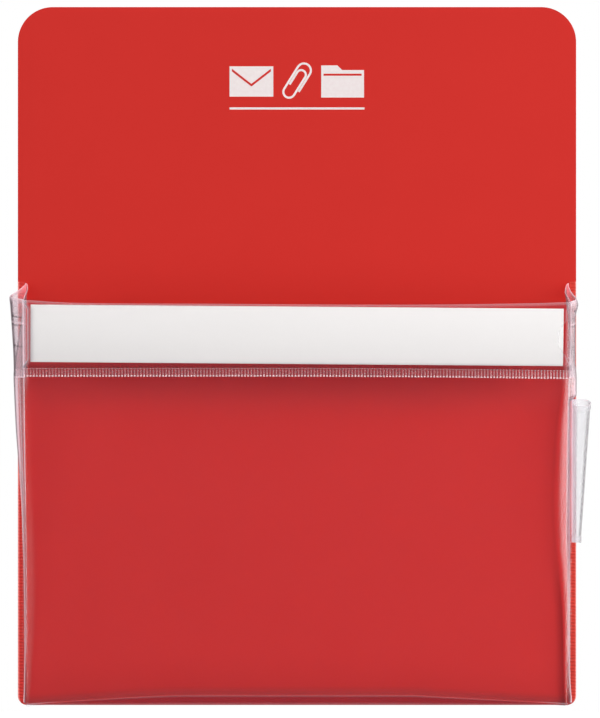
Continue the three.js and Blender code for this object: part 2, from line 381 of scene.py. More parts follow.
@dataclass(frozen=True)
class SolidFinish:
    """An opaque finish: its colour varies with a mottle, its gloss and relief with a grain.

    Without a grain of its own, gloss and relief follow the mottle. A rim is a paler line, a
    painted highlight along an edge.
    """

    name: str
    slot: Slot
    colour: Triple
    shade: Triple
    mottle: Grain
    grain: Grain | None = None
    roughness: Pair = (0.5, 0.5)
    relief: float = 0.0
    relief_strength: float = 0.0
    shine: float = 0.5
    coat: float = 0.0
    coat_roughness: float = 0.12
    rim: FilmLine | None = None
    painted_rim_highlight_colour: Triple = (0.92, 0.3, 0.27)

    def material(self) -> bpy.types.Material:
        """Returns the finish as a material."""
        bench = Bench(bpy.data.materials.new(self.name))
        mottle = bench.noise(self.mottle)
        grain = bench.noise(self.grain) if self.grain else mottle
        colour = bench.tones(mottle, self.colour, self.shade)
        if self.rim:
            colour = bench.tones(bench.line(self.rim), colour, self.painted_rim_highlight_colour)
        low, high = self.roughness
        shader = bench.add(
            "BsdfPrincipled",
            Base_Color=colour,
            Roughness=low if low == high else bench.span(grain, low, high),
            Specular_IOR_Level=self.shine,
            Coat_Weight=self.coat,
            Coat_Roughness=self.coat_roughness,
        )
        if self.relief:
            bump = bench.add("Bump", Height=grain, Distance=self.relief, Strength=self.relief_strength)
            bench.feed(shader.inputs["Normal"], bump.outputs[0])
        return bench.shown(shader)


@dataclass(frozen=True)
class FilmFinish:
    """Clear soft vinyl film: it shines, darkens and clouds the flatter it is seen."""

    name: str
    slot: Slot = Slot.FILM
    tint: Triple = (0.996, 0.99, 0.994)
    edge_tint: Triple = (0.42, 0.37, 0.40)
    edge_power: float = 7.0
    milk: Triple = (0.86, 0.80, 0.86)
    milk_face: float = 0.0045
    milk_edge: float = 0.12
    milk_power: float = 2.0
    # The red that the backing throws into the film, put on as a painted reflection.
    blush: Triple = (1.0, 0.2, 0.22)
    gloss_face: float = 0.012
    gloss_edge: float = 0.7
    gloss_power: float = 6.0
    roughness: float = 0.13
    cloud: Grain = Grain(90.0, 2.0)
    cloud_low: float = 0.7
    cloud_high: float = 1.3
    lines: tuple[FilmLine, ...] = ()

    def material(self) -> bpy.types.Material:
        """Returns the finish as a material."""
        bench = Bench(bpy.data.materials.new(self.name))
        facing = bench.add("LayerWeight").outputs["Facing"]
        # The share towards the dark edge tint: the film darkens where it is seen edge on, and its lines add
        # painted shade.
        dark = bench.maths("POWER", facing, self.edge_power)
        milky = self.milkiness(bench, facing)
        blushing: Socket | float = 0.0
        for line in self.lines:
            mask = bench.line(line)
            dark = bench.raised(dark, mask, line.dark) if line.dark else dark
            if line.rim:
                dark = bench.raised(dark, bench.maths("MULTIPLY", mask, facing), line.rim)
            milky = bench.raised(milky, mask, line.milk) if line.milk else milky
            blushing = bench.raised(blushing, mask, line.blush) if line.blush else blushing
        clear = bench.add("BsdfTransparent", Color=bench.tones(dark, self.tint, self.edge_tint))
        # The milky white is partly the film's own whitening and partly painted highlight; the red diffuse
        # is a painted reflection of the backing.
        milk = bench.add("BsdfDiffuse", Color=self.milk)
        blush = bench.add("BsdfDiffuse", Color=self.blush)
        gloss = bench.add("BsdfGlossy", Roughness=self.roughness)
        glancing = bench.maths("POWER", facing, self.gloss_power)
        shine = bench.span(glancing, self.gloss_face, self.gloss_edge)
        film = bench.joined("MixShader", clear, milk, Fac=milky)
        film = bench.joined("MixShader", film, blush, Fac=blushing)
        return bench.shown(bench.joined("MixShader", film, gloss, Fac=shine))

    def milkiness(self, bench: Bench, facing: Socket) -> Socket:
        """Gives the share of the film that is milky.

        Args:
            bench: the material being made.
            facing: 0 where the film is seen squarely, 1 where it is seen edge on.

        Returns:
            The share, a little uneven.
        """
        cloud = bench.span(bench.noise(self.cloud), self.cloud_low, self.cloud_high)
        glancing = bench.maths("POWER", facing, self.milk_power)
        return bench.maths("MULTIPLY", bench.span(glancing, self.milk_face, self.milk_edge), cloud)


@dataclass(frozen=True)
class RibbedFilmFinish(FilmFinish):
    """Film pressed by a ribbed welding bar: whitened on every rib, with a bead at its lower end.

    The whitening is partly the pressed film's own and partly painted highlight, most of all the
    bright dots on the beads. The ribs are whiter towards the strip's last end, from the share
    that last_ribs gives.
    """

    ribs: int = 1
    rib_milk: float = 0.12
    last_rib_milk: float = 0.28
    last_ribs: float = 0.75
    rib_sharpness: float = 3.0
    bead_milk: float = 0.75
    bead_height: float = 0.2
    bead_core: float = 0.5

    def milkiness(self, bench: Bench, facing: Socket) -> Socket:
        """Gives the share of the film that is milky, with its ribs and beads, partly painted highlight.

        Args:
            bench: the material being made.
            facing: 0 where the film is seen squarely, 1 where it is seen edge on.

        Returns:
            The share.
        """
        across, up = bench.surface()
        wave = bench.maths("COSINE", bench.maths("MULTIPLY", across, 2 * math.pi * self.ribs))
        crest = bench.maths("POWER", bench.fade(wave, 1, -1), self.rib_sharpness)
        low = bench.fade(up, self.bead_height, self.bead_core * self.bead_height)
        strength = bench.span(bench.fade(across, self.last_ribs, 1.0), self.rib_milk, self.last_rib_milk)
        smooth = FilmFinish.milkiness(self, bench, facing)
        ribbed = bench.maths("ADD", smooth, bench.maths("MULTIPLY", crest, strength))
        return bench.raised(ribbed, bench.maths("MULTIPLY", crest, low), self.bead_milk)


Finish = SolidFinish | FilmFinish

VINYL = SolidFinish(
    name="red_vinyl_satin",
    slot=Slot.VINYL,
    colour=(0.612, 0.0315, 0.0252),
    shade=(0.588, 0.0295, 0.0238),
    mottle=Grain(38.0, 3.0),
    grain=Grain(2600.0, 2.0),
    roughness=(0.42, 0.55),
    relief=0.03 * MM,
    relief_strength=0.22,
    shine=0.05,
)
WELDED_VINYL = replace(
    VINYL,
    name="red_vinyl_welded",
    colour=(0.67, 0.062, 0.044),
    shade=(0.63, 0.055, 0.04),
    roughness=(0.3, 0.42),
    relief_strength=0.08,
    coat=0.1,
    # A painted highlight along the film's cut edge on the strip's outer side.
    rim=upright(1.0, 0.16, soft=0.6),
)
# A darker copy of the welded vinyl for the left strip: painted shade, as less light falls on that side.
SHADED_WELDED_VINYL = replace(
    WELDED_VINYL,
    name="red_vinyl_welded_shaded",
    colour=(0.62, 0.047, 0.039),
    shade=(0.585, 0.042, 0.035),
    # A wider painted highlight along the strip's outer edge.
    rim=upright(1.0, 0.26, soft=0.8),
)
# A darker copy for the strip under the bottom fold: painted shade, where the fold keeps the light off.
SHADE_PAINTED_VINYL = replace(
    WELDED_VINYL,
    name="red_vinyl_painted_shade_under_fold",
    colour=(0.36, 0.02, 0.021),
    shade=(0.33, 0.018, 0.019),
    coat=0.0,
    rim=None,
)
MAGNET_RUBBER = SolidFinish(
    name="magnet_rubber_matt",
    slot=Slot.MAGNET,
    colour=(0.021, 0.018, 0.016),
    shade=(0.043, 0.039, 0.036),
    mottle=Grain(420.0, 4.0, (0.08, 1.0, 1.0)),
    roughness=(0.66, 0.86),
    relief=0.03 * MM,
    relief_strength=0.3,
)
WHITE_CARD = SolidFinish(
    name="white_card_uncoated",
    slot=Slot.CARD,
    colour=(0.915, 0.903, 0.882),
    shade=(0.891, 0.88, 0.861),
    mottle=Grain(900.0, 5.0, (0.35, 1.0, 1.4)),
    roughness=(0.88, 0.88),
    relief=0.02 * MM,
    relief_strength=0.25,
)
SCREEN_INK = SolidFinish(
    name="white_screen_ink",
    slot=Slot.CARD,
    colour=(0.86, 0.80, 0.79),
    shade=(0.80, 0.69, 0.68),
    mottle=Grain(700.0, 3.0),
    roughness=(0.55, 0.55),
)
POCKET_FILM = FilmFinish(
    name="clear_film_pocket",
    milk_edge=0.07,
    lines=(
        # Painted light on the pocket film: the pale lines at the bottom crease and its corners and the
        # milky lines along the right crease are painted highlight, partly the film's own whitening; the
        # dark bands above the bottom crease and beside both side creases are painted shade; the red on the
        # right crease is a painted reflection.
        level(0.0, 0.012, milk=0.12),
        level(0.1, 0.03, milk=0.055),
        level(0.11, 0.035, milk=0.2, reach=(-0.2, 0.19), reach_fade=0.02),
        level(0.11, 0.035, milk=0.2, reach=(0.81, 1.2), reach_fade=0.02),
        level(0.14, 0.025, dark=0.22, milk=0.012),
        level(0.14, 0.1, dark=0.05),
        level(0.81, 0.07, milk=0.003),
        upright(0.09, 0.08, dark=0.03, milk=0.015, reach=(0.1, 0.55), reach_fade=0.1),
        upright(0.845, 0.03, dark=0.12),
        upright(0.834, 0.012, dark=0.32, reach=(-0.2, 0.4), reach_fade=0.1),
        upright(0.945, 0.057, milk=0.07, blush=0.13, soft=0.9, reach=(0.42, 0.82), reach_fade=0.08),
        upright(0.98, 0.018, milk=0.28, reach=(0.42, 0.86), reach_fade=0.08),
        upright(0.0, 0.16, milk=0.28, reach=(0.84, 1.2)),
        upright(1.0, 0.16, milk=0.08, soft=0.3, reach=(0.84, 1.2)),
    ),
)
GUSSET_FILM = FilmFinish(
    name="clear_film_gusset",
    tint=(0.935, 0.915, 0.93),
    edge_tint=(0.3, 0.27, 0.29),
    edge_power=6.0,
    milk=(0.92, 0.725, 0.79),
    milk_edge=0.2,
    gloss_edge=0.16,
    gloss_power=4.0,
    lines=(
        # Painted light on the gussets: the milky lines along the folds and edges are partly painted
        # highlight, the dark lines are painted shade, the rim line darkens the fold as painted shade where
        # it is seen edge on, and the red near the top is a painted reflection of the backing.
        level(1.0, 0.006, milk=0.4),
        upright(0.36, 0.12, milk=0.55, reach=(0.57, 0.9)),
        upright(0.5, 0.13, milk=0.75, reach=(-0.2, 0.3)),
        upright(0.5, 0.1, milk=0.65, soft=0.6, reach=(0.3, 0.55)),
        upright(0.5, 0.11, rim=2.3, reach=(0.58, 1.2)),
        upright(0.64, 0.1, milk=0.5, reach=(0.57, 0.8)),
        upright(0.0, 0.06, milk=0.3, soft=0.4, reach=(0.38, 0.73)),
        upright(0.1, 0.06, dark=0.4, reach=(0.34, 0.6)),
        upright(0.8, 0.04, milk=0.25, reach=(0.45, 1.2)),
        upright(0.88, 0.035, dark=0.35, reach=(0.45, 1.2)),
        upright(0.74, 0.2, dark=0.3, milk=0.06, reach=(-0.2, 0.1), reach_fade=0.03),
        level(1.0, 0.08, milk=0.06, blush=0.28, reach=(-0.2, 0.2), reach_fade=0.16),
        upright(1.0, 0.06, milk=0.1, reach=(0.14, 0.5)),
        upright(1.0, 0.06, milk=0.38, reach=(0.5, 1.2)),
    ),
)
LABEL_END_FILM = replace(
    GUSSET_FILM,
    name="clear_film_wing",
    tint=(0.905, 0.875, 0.89),
    milk_face=0.012,
    milk_edge=0.3,
    roughness=0.22,
    lines=(
        # Painted light on the label's ends: the dark lines at the wrinkles are painted shade, the milky
        # lines partly painted highlight, the rim line is painted shade where the fold is seen edge on, and
        # the red near the top is a painted reflection of the backing.
        level(1.0, 0.015, milk=0.4),
        level(1.0, 0.08, milk=0.28),
        level(1.0, 0.34, milk=0.06, blush=0.28, reach=(-0.2, 0.2), reach_fade=0.16),
        level(0.764, 0.018, milk=-0.05, dark=0.55, reach=(0.4, 1.2)),
        level(0.69, 0.02, milk=0.3, reach=(0.5, 1.2)),
        level(0.66, 0.014, milk=-0.05, dark=0.6, reach=(0.4, 1.2)),
        level(0.394, 0.018, milk=-0.05, dark=0.5, reach=(0.4, 1.2)),
        *(
            upright(place, 0.04, milk=0.3, reach=(-0.2, 0.1), reach_fade=0.02)
            for place in (0.66, 0.78, 0.9)
        ),
        level(0.0, 0.02, milk=0.3, soft=0.5, reach=(0.5, 1.2)),
        upright(0.5, 0.11, rim=2.4, soft=0.6),
        upright(0.8, 0.025, milk=0.25, reach=(0.3, 1.2)),
        upright(1.0, 0.05, milk=0.5),
    ),
)
LABEL_FILM = FilmFinish(
    name="clear_film_label",
    tint=(0.998, 0.994, 0.996),
    milk_face=0.008,
    gloss_face=0.007,
    lines=(
        # The dark band along the window's bottom and the dark line at its left end are the card's shadow,
        # painted; the milky lines on its top and ends are the film's whitening at its cut edges and partly
        # painted highlight.
        level(1.0, 0.02, milk=0.08),
        level(1.0, 0.05, milk=0.07, soft=0.3),
        level(0.0, 0.12, dark=0.3),
        upright(0.0, 0.0025, milk=0.2),
        upright(1.0, 0.0025, milk=0.2),
        upright(0.0, 0.011, milk=0.12),
        upright(0.0, 0.016, dark=0.3),
    ),
)
PRESSED_FILM = RibbedFilmFinish(
    name="clear_film_pressed",
    milk=(0.94, 0.66, 0.69),
    milk_face=0.02,
    lines=(
        # The pale line along the band's top is partly painted highlight; the whole band is darkened as
        # painted shade.
        level(1.0, 0.1, milk=0.12),
        level(0.5, 0.6, dark=0.16, soft=0.2),
    ),
)
SLEEVE_FILM = FilmFinish(
    name="clear_film_sleeve",
    tint=(0.966, 0.965, 0.969),
    edge_tint=(0.44, 0.43, 0.44),
    edge_power=1.5,
    milk=(0.87, 0.84, 0.88),
    milk_face=0.03,
    gloss_face=0.008,
    gloss_edge=0.2,
    lines=(
        level(0.0, 0.05, milk=0.16, soft=0.1),
        level(1.0, 0.05, milk=0.16, soft=0.1),
        level(1.0, 0.008, milk=0.4),
        upright(0.0, 0.3, milk=0.55),
    ),
)
TAB_FILM = FilmFinish(
    name="clear_film_tab",
    milk=(0.86, 0.79, 0.87),
    milk_face=0.5,
    lines=(
        level(0.0, 0.05, milk=0.3),
        level(1.0, 0.05, milk=0.3),
    ),
)


@dataclass(frozen=True)
class EdgeForm:
    """How the film lies on one side of the pocket, by height where it is a profile.

    The bottom crease drops into its corner. The front crease has a radius, a spread that makes its
    rounding wide, and goes out. The gusset stands on its root and bulges, and so does the label's
    end outside it, whose wrinkles are each a height, a depth and a width.
    """

    side: Side
    corner_drop: float
    corner_power: float
    spread: float
    radius: Profile
    out: Profile
    root: Profile
    bulge: Profile
    end_bulge: Profile
    wrinkles: tuple[Triple, ...]


LEFT_EDGE = EdgeForm(
    side=Side.LEFT,
    corner_drop=4.15,
    corner_power=1.3,
    spread=1.9,
    radius=Profile(((-151, 0.4), (-140, 1.2), (-100, 2.5), (-40, 1.8), (-12, 1.5), (24, 1.4))),
    out=Profile(((-151, 0.0), (-90, 0.0), (-40, 0.4), (24, 0.6))),
    root=Profile(((-151, 117.2), (-20, 117.4), (10, 116.8), (32, 116.0))),
    bulge=Profile(
        ((-151, 0.9), (-141, 0.5), (-122, 0.2), (-96, 0.45), (-83, 0.7), (-70, 1.05), (-59, 1.55))
        + ((-49, 2.15), (-40, 2.8), (-32, 3.35), (-15, 4.1), (-6, 4.25), (12, 1.8), (32, -1.6))
    ),
    end_bulge=Profile(((-10, 4.5), (0, 4.7), (8, 5.1), (16, 5.6), (22, 6.0), (25.5, 6.2), (32, 3.5))),
    wrinkles=((23.0, 0.3, 0.9), (17.6, 0.4, 0.9), (14.6, 0.35, 0.8), (4.8, 0.3, 1.1), (10, -0.2, 2.5)),
)
RIGHT_EDGE = EdgeForm(
    side=Side.RIGHT,
    corner_drop=3.85,
    corner_power=1.0,
    spread=2.46,
    radius=Profile(
        ((-151, 0.3), (-140, 0.6), (-113, 0.9), (-95, 1.6), (-80, 2.6))
        + ((-62, 3.0), (-45, 2.8), (-30, 2.4), (-14, 1.5), (24, 0.9))
    ),
    out=Profile(((-151, 0.0), (-20, 0.0), (2, 0.55), (24, 0.6))),
    root=Profile(((-151, 117.2), (-70, 117.2), (-20, 117.2), (10, 116.8), (32, 116.0))),
    bulge=Profile(
        ((-151, 1.6), (-136, 0.5), (-103, 0.5), (-84, 0.35), (-70, 0.3), (-21.5, 0.3))
        + ((-19.4, 0.3), (-17.2, 2.8), (-15, 3.0), (-6, 2.7), (12, 0.1), (32, -2.1))
    ),
    end_bulge=Profile(
        ((-10, 2.5), (0, 2.5), (16, 2.5), (18.5, 2.8), (21.7, 3.6), (24.5, 2.9), (27.5, 1.7), (32, -0.3))
    ),
    wrinkles=((18.5, 0.35, 1.1), (11.0, -0.2, 2.4), (1.5, 0.25, 1.3)),
)
EDGES = (LEFT_EDGE, RIGHT_EDGE)


@dataclass(frozen=True)
class Places:
    """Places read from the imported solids, in millimetres, with depths from the backing's face."""

    sheet_low: Vector
    sheet_high: Vector
    hinge_depth: float
    hinge_z: float
    mouth_depth: float
    mouth_z: float
    half_width: float
    margin_top: float
    band_top: float
    band_bottom: float

    @classmethod
    def read(cls) -> "Places":
        """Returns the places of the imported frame."""
        sheet_low, sheet_high = box("backing_sheet")
        panel_low, panel_high = box("pocket_front_panel")
        band_low, band_high = box("label_weld_band")
        opening = next(joint for joint in frame["joints"] if joint["name"] == "pocket_open")
        hinge = Vector(opening["pos_m"]) / MM
        return cls(
            sheet_low=sheet_low,
            sheet_high=sheet_high,
            hinge_depth=sheet_low.y - hinge.y,
            hinge_z=hinge.z,
            mouth_depth=sheet_low.y - panel_low.y,
            mouth_z=panel_high.z,
            half_width=panel_high.x,
            margin_top=box("left_weld_margin")[1].z,
            band_top=band_high.z,
            band_bottom=band_low.z,
        )

    @property
    def face(self) -> float:
        """The Y of the backing's front face."""
        return self.sheet_low.y


@dataclass(frozen=True)
class PocketForm:
    """The film pocket's form: how far the film stands off the backing, and where its creases run."""

    places: Places
    crease_z: float = -146.0
    corner_start: float = 50.0
    corner_pinch: float = 1.5
    pinch_fade: float = 14.0
    billow: float = 0.7
    crease_turn: float = math.radians(78.0)
    film_half: float = 0.18
    least_depth: float = 0.5
    mouth: Profile = Profile(
        ((-117, 23.8), (-95, 22.5), (-42, 22.1), (45, 21.7), (100, 22.3), (117, 22.9))
    )

    def edge(self, x: float) -> EdgeForm:
        """Returns the form of the side on which a place lies."""
        return LEFT_EDGE if x < 0 else RIGHT_EDGE

    def corner_share(self, x: float) -> float:
        """Returns how far a place lies towards a bottom corner, from 0 to 1."""
        run = self.places.half_width - self.corner_start
        return within((abs(x) - self.corner_start) / run) ** self.edge(x).corner_power

    def crease_height(self, x: float) -> float:
        """Returns the Z of the bottom crease, which runs down towards both corners."""
        return self.crease_z - self.edge(x).corner_drop * self.corner_share(x)

    def lean(self, z: float) -> float:
        """Returns the straight panel's distance from the backing at a height."""
        places = self.places
        share = (z - places.hinge_z) / (places.mouth_z - places.hinge_z)
        return blend(places.hinge_depth, places.mouth_depth - self.film_half, share)

    def depth(self, x: float, z: float) -> float:
        """Gives the soft film's distance from the backing.

        Args:
            x: the place across the pocket.
            z: the height.

        Returns:
            The distance, pinched at the bottom corners and slightly billowed below the label.
        """
        places = self.places
        above = max(z - self.crease_height(x), 0.0)
        pinch = self.corner_pinch * self.corner_share(x) * math.exp(-above / self.pinch_fade)
        height = within((z - places.hinge_z) / (places.band_bottom - places.hinge_z))
        middle = math.cos(0.5 * math.pi * within(x / places.half_width, -1))
        return self.lean(z) - pinch + self.billow * middle * math.sin(math.pi * height)

    def crease(self, edge: EdgeForm, z: float, turn: float) -> Pair:
        """Gives a place in the rounding between the front film and a gusset.

        Args:
            edge: the crease's side.
            z: the height.
            turn: how far round, from 0 at the flat front to 1 at the gusset.

        Returns:
            The X there, and how far the film has gone back from the flat front.
        """
        radius = edge.radius.at(z)
        reach = radius * edge.spread
        angle = turn * self.crease_turn
        x = self.places.half_width + edge.out.at(z) - reach + reach * math.sin(angle)
        return edge.side.value * x, radius * (1.0 - math.cos(angle))

    def crease_end(self, edge: EdgeForm, z: float) -> Pair:
        """Returns the X and the depth where a gusset starts from the front film."""
        x, back = self.crease(edge, z, 1.0)
        return x, max(self.depth(x, z) - back, self.least_depth)

    def point(self, x: float, depth: float, z: float) -> Vector:
        """Returns the point at a depth in front of the backing, in metres."""
        return metres(x, self.places.face - depth, z)


def placed_grid(columns: int, rows: int, place: Place) -> Mesh:
    """Makes a grid and moves its points to a surface.

    Args:
        columns: faces across.
        rows: faces up.
        place: gives the point in metres for shares across and up, from 0 to 1.

    Returns:
        The open sheet, with its shares kept as UV.
    """
    mesh = bmesh.new()
    surface = mesh.loops.layers.uv.new(SURFACE_MAP)
    bmesh.ops.create_grid(mesh, x_segments=columns, y_segments=rows, size=0.5)
    for face in mesh.faces:
        for loop in face.loops:
            loop[surface].uv = (loop.vert.co.x + 0.5, loop.vert.co.y + 0.5)
    for vert in mesh.verts:
        vert.co = place(vert.co.x + 0.5, vert.co.y + 0.5)
    bmesh.ops.recalc_face_normals(mesh, faces=mesh.faces)
    return mesh


def thicken(mesh: Mesh, thickness: float) -> Mesh:
    """Gives an open sheet its thickness, half to each side.

    Args:
        mesh: the sheet, which is changed.
        thickness: in millimetres.

    Returns:
        The same mesh, closed.
    """
    for vert in mesh.verts:
        vert.normal_update()
    for vert in mesh.verts:
        vert.co += vert.normal * (thickness * MM / 2)
    bmesh.ops.solidify(mesh, geom=mesh.faces[:], thickness=thickness * MM)
    bmesh.ops.recalc_face_normals(mesh, faces=mesh.faces)
    return mesh


def rounded(mesh: Mesh, geom: list, radius: float, segments: int, affect: str = "EDGES") -> None:
    """Rounds edges of a mesh, or corners of a flat outline.

    Args:
        mesh: the mesh, which is changed.
        geom: the edges or corners.
        radius: the rounding in millimetres.
        segments: how many faces it has.
        affect: EDGES or VERTICES.
    """
    bmesh.ops.bevel(
        mesh,
        geom=geom,
        offset=radius * MM,
        affect=affect,
        segments=segments,
        profile=0.5,
        material=-1,
    )


def drawn_out(mesh: Mesh, faces: list[bmesh.types.BMFace]) -> list[bmesh.types.BMVert]:
    """Extrudes faces and returns the new corners, which are still where the old ones are."""
    grown = bmesh.ops.extrude_face_region(mesh, geom=faces)
    return [item for item in grown["geom"] if isinstance(item, bmesh.types.BMVert)]


def rounded_sheet(low: Vector, high: Vector, radii: Pair, edge: float) -> Mesh:
    """Makes a flat sheet with rounded corners and softened edges.

    Args:
        low: the lowest corner in millimetres.
        high: the highest corner.
        radii: radius of both upper corners, and of both lower ones.
        edge: rounding of its rims.

    Returns:
        The closed sheet, in metres.
    """
    corner_segments, edge_segments = 20, 3
    rim_angle = math.radians(60.0)
    mesh = bmesh.new()
    bmesh.ops.create_grid(mesh, x_segments=1, y_segments=1, size=0.5)
    for vert in mesh.verts:
        across, up = vert.co.x + 0.5, vert.co.y + 0.5
        vert.co = metres(blend(low.x, high.x, across), high.y, blend(low.z, high.z, up))
    middle = (low.z + high.z) / 2 * MM
    for radius, upper in zip(radii, (True, False)):
        corners = [vert for vert in mesh.verts if (vert.co.z > middle) == upper]
        rounded(mesh, corners, radius, corner_segments, "VERTICES")
    moved = drawn_out(mesh, mesh.faces[:])
    bmesh.ops.translate(mesh, verts=moved, vec=metres(0, low.y - high.y, 0))
    bmesh.ops.recalc_face_normals(mesh, faces=mesh.faces)
    rims = [item for item in mesh.edges if item.calc_face_angle(0.0) > rim_angle]
    rounded(mesh, rims, edge, edge_segments)
    return mesh


def linked(mesh: Mesh, name: str, material: bpy.types.Material) -> bpy.types.Object:
    """Makes an object of a mesh and puts it in the scene.

    Args:
        mesh: the finished mesh, which is used up.
        name: the object's name.
        material: its only material.

    Returns:
        The object, at the origin.
    """
    data = bpy.data.meshes.new(name)
    mesh.to_mesh(data)
    mesh.free()
    data.materials.append(material)
    item = bpy.data.objects.new(name, data)
    bpy.context.scene.collection.objects.link(item)
    return item


@dataclass
class SubAssembly:
    """Pieces that belong together, with the frame's places and the pocket's form."""

    places: Places
    form: PocketForm

    def settle(
        self,
        mesh: Mesh,
        name: str,
        finish: Finish,
        stands_for: Sequence[str] = (),
        body: Body = Body.BACKING,
    ) -> bpy.types.Object:
        """Makes a piece of a mesh, dresses it and puts it on its body.

        Args:
            mesh: the finished mesh, which is used up.
            name: the piece's name.
            finish: its finish, whose material is made once.
            stands_for: the solids that it replaces.
            body: what it rides on.

        Returns:
            The piece.
        """
        material = bpy.data.materials.get(finish.name) or finish.material()
        piece = linked(mesh, name, material)
        piece.data.shade_smooth()
        piece.data.set_sharp_from_angle(angle=SHARP_ANGLE)
        piece.visible_shadow = finish.slot is not Slot.FILM
        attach(piece, body.value)
        if stands_for:
            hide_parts(*stands_for)
        LOG.info("%s: %d faces on %s", name, len(piece.data.polygons), body.value)
        return piece

    def fold_flat(self, piece: bpy.types.Object, keep: float) -> None:
        """Gives a side wall a mesh of its own, which it does not fold."""
        anchor = metres(0, self.places.face, 0)
        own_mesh(piece)


@dataclass
class Backing(SubAssembly):
    """The red vinyl sheet, the magnet sheet behind it and the printed pictures on its upper part."""

    radii: Pair = (15.0, 4.0)
    edge: float = 0.18
    magnet_radii: Pair = (8.0, 8.0)
    magnet_edge: float = 0.12
    print_centre: Pair = (0.0, 118.0)
    print_pitch: float = 19.6
    stroke: float = 0.9
    ink_height: float = 0.05
    ink_rounding: int = 2
    clip_tilt: float = math.radians(-32.0)

    def build(self) -> None:
        """Makes the sheet, the magnet and the print."""
        sheet = rounded_sheet(*box("backing_sheet"), self.radii, self.edge)
        self.settle(sheet, "backing", VINYL, ["backing_sheet"])
        magnet = rounded_sheet(*box("magnet_sheet"), self.magnet_radii, self.magnet_edge)
        self.settle(magnet, "magnet_backing", MAGNET_RUBBER, ["magnet_sheet"])
        self.settle(self.pictures(), "printed_pictures", SCREEN_INK)

    def pictures(self) -> Mesh:
        """Returns three plain pictures over a rule: an envelope, a paper clip and a folder."""
        mesh = bmesh.new()
        for outlines in (self.envelope(-self.print_pitch), self.folder(self.print_pitch), self.rule()):
            self.fill(mesh, outlines)
        self.draw(mesh, self.clip())
        return mesh

    def envelope(self, x: float) -> list[Outline]:
        """Draws an envelope.

        Args:
            x: its middle, from the print's.

        Returns:
            Its outline and that of its bare flap line.
        """
        half_width, half_height, rim, fold, line = 9.4, 6.5, 1.0, -1.0, 1.3
        side, top = half_width - rim, half_height - rim
        flap = [(-side, top), (0, fold), (side, top)]
        flap += [(across, up - line * self.stroke) for across, up in reversed(flap)]
        bare = [Vector((x + across, up)) for across, up in flap]
        return [self.oblong(x, 0.0, half_width, half_height), bare]

    def folder(self, x: float) -> list[Outline]:
        """Draws a tabbed folder.

        Args:
            x: its middle, from the print's.

        Returns:
            Its outline and that of its bare lip line.
        """
        half_width, half_height, tab, slope, rim = 9.2, 6.9, 7.0, 2.0, 1.0
        shoulder = half_height - slope
        tab_end = tab - half_width
        outline = [(-half_width, -half_height), (half_width, -half_height), (half_width, shoulder)]
        outline += [(tab_end + slope, shoulder), (tab_end, half_height), (-half_width, half_height)]
        lip = self.oblong(x, shoulder - slope, half_width - rim, self.stroke / 2)
        return [[Vector((x + across, up)) for across, up in outline], lip]

    def rule(self) -> list[Outline]:
        """Returns the outline of the rule under the pictures."""
        half_length, drop = 29.0, 11.6
        return [self.oblong(0.0, -drop, half_length, self.stroke / 2)]

    def oblong(self, x: float, z: float, half_width: float, half_height: float) -> Outline:
        """Returns the corners of an oblong round a middle."""
        signs = ((-1, -1), (1, -1), (1, 1), (-1, 1))
        return [Vector((x + across * half_width, z + up * half_height)) for across, up in signs]

    def clip(self) -> Outline:
        """Returns the one bent line of a paper clip in the print's middle."""
        steps = 12
        start, end = Vector((3.0, -3.4)), Vector((-2.0, -2.8))
        bends = ((0.0, 5.6, 3.0, 0.0), (-0.5, -5.6, 2.5, math.pi), (0.0, 3.4, 2.0, 0.0))
        line = [start]
        for centre, height, radius, first in bends:
            for step in range(steps + 1):
                angle = first + math.pi * step / steps
                line.append(Vector((centre + radius * math.cos(angle), height + radius * math.sin(angle))))
        turn = Matrix.Rotation(self.clip_tilt, 2)
        return [turn @ point for point in (*line, end)]

    def spot(self, place: Vector) -> Vector:
        """Returns a place of the print, from its middle, as a point on the backing in metres."""
        return metres(self.print_centre[0] + place.x, self.places.face, self.print_centre[1] + place.y)

    def fill(self, mesh: Mesh, outlines: list[Outline]) -> None:
        """Adds a patch of ink to the print.

        Args:
            mesh: the print so far.
            outlines: the patch's outline, and those of the bare places in it.
        """
        rims = []
        for outline in outlines:
            corners = [mesh.verts.new(self.spot(place)) for place in outline]
            rims += [mesh.edges.new(ends) for ends in zip(corners, corners[1:] + corners[:1])]
        filled = bmesh.ops.triangle_fill(mesh, use_beauty=True, edges=rims, normal=(0, -1, 0))
        faces = [item for item in filled["geom"] if isinstance(item, bmesh.types.BMFace)]
        bmesh.ops.translate(mesh, verts=drawn_out(mesh, faces), vec=metres(0, -self.ink_height, 0))
        bmesh.ops.recalc_face_normals(mesh, faces=mesh.faces)

    def draw(self, mesh: Mesh, line: Outline) -> None:
        """Adds a line of ink to the print.

        Args:
            mesh: the print so far.
            line: the line's points from the print's middle, in millimetres.
        """
        face = metres(0, self.places.face, 0)
        curve = bpy.data.curves.new("ink_line", "CURVE")
        curve.dimensions = "3D"
        curve.bevel_depth = self.stroke / 2 * MM
        curve.bevel_resolution = self.ink_rounding
        curve.use_fill_caps = True
        spline = curve.splines.new("POLY")
        spline.points.add(len(line) - 1)
        for point, place in zip(spline.points, line):
            point.co = (*(self.spot(place) - face), 1.0)
        holder = bpy.data.objects.new("ink_line", curve)
        data = holder.to_mesh()
        flatten = Matrix.Diagonal((1.0, self.ink_height / self.stroke, 1.0, 1.0))
        data.transform(Matrix.Translation(face) @ flatten)
        mesh.from_mesh(data)
        holder.to_mesh_clear()
        bpy.data.objects.remove(holder)
        bpy.data.curves.remove(curve)


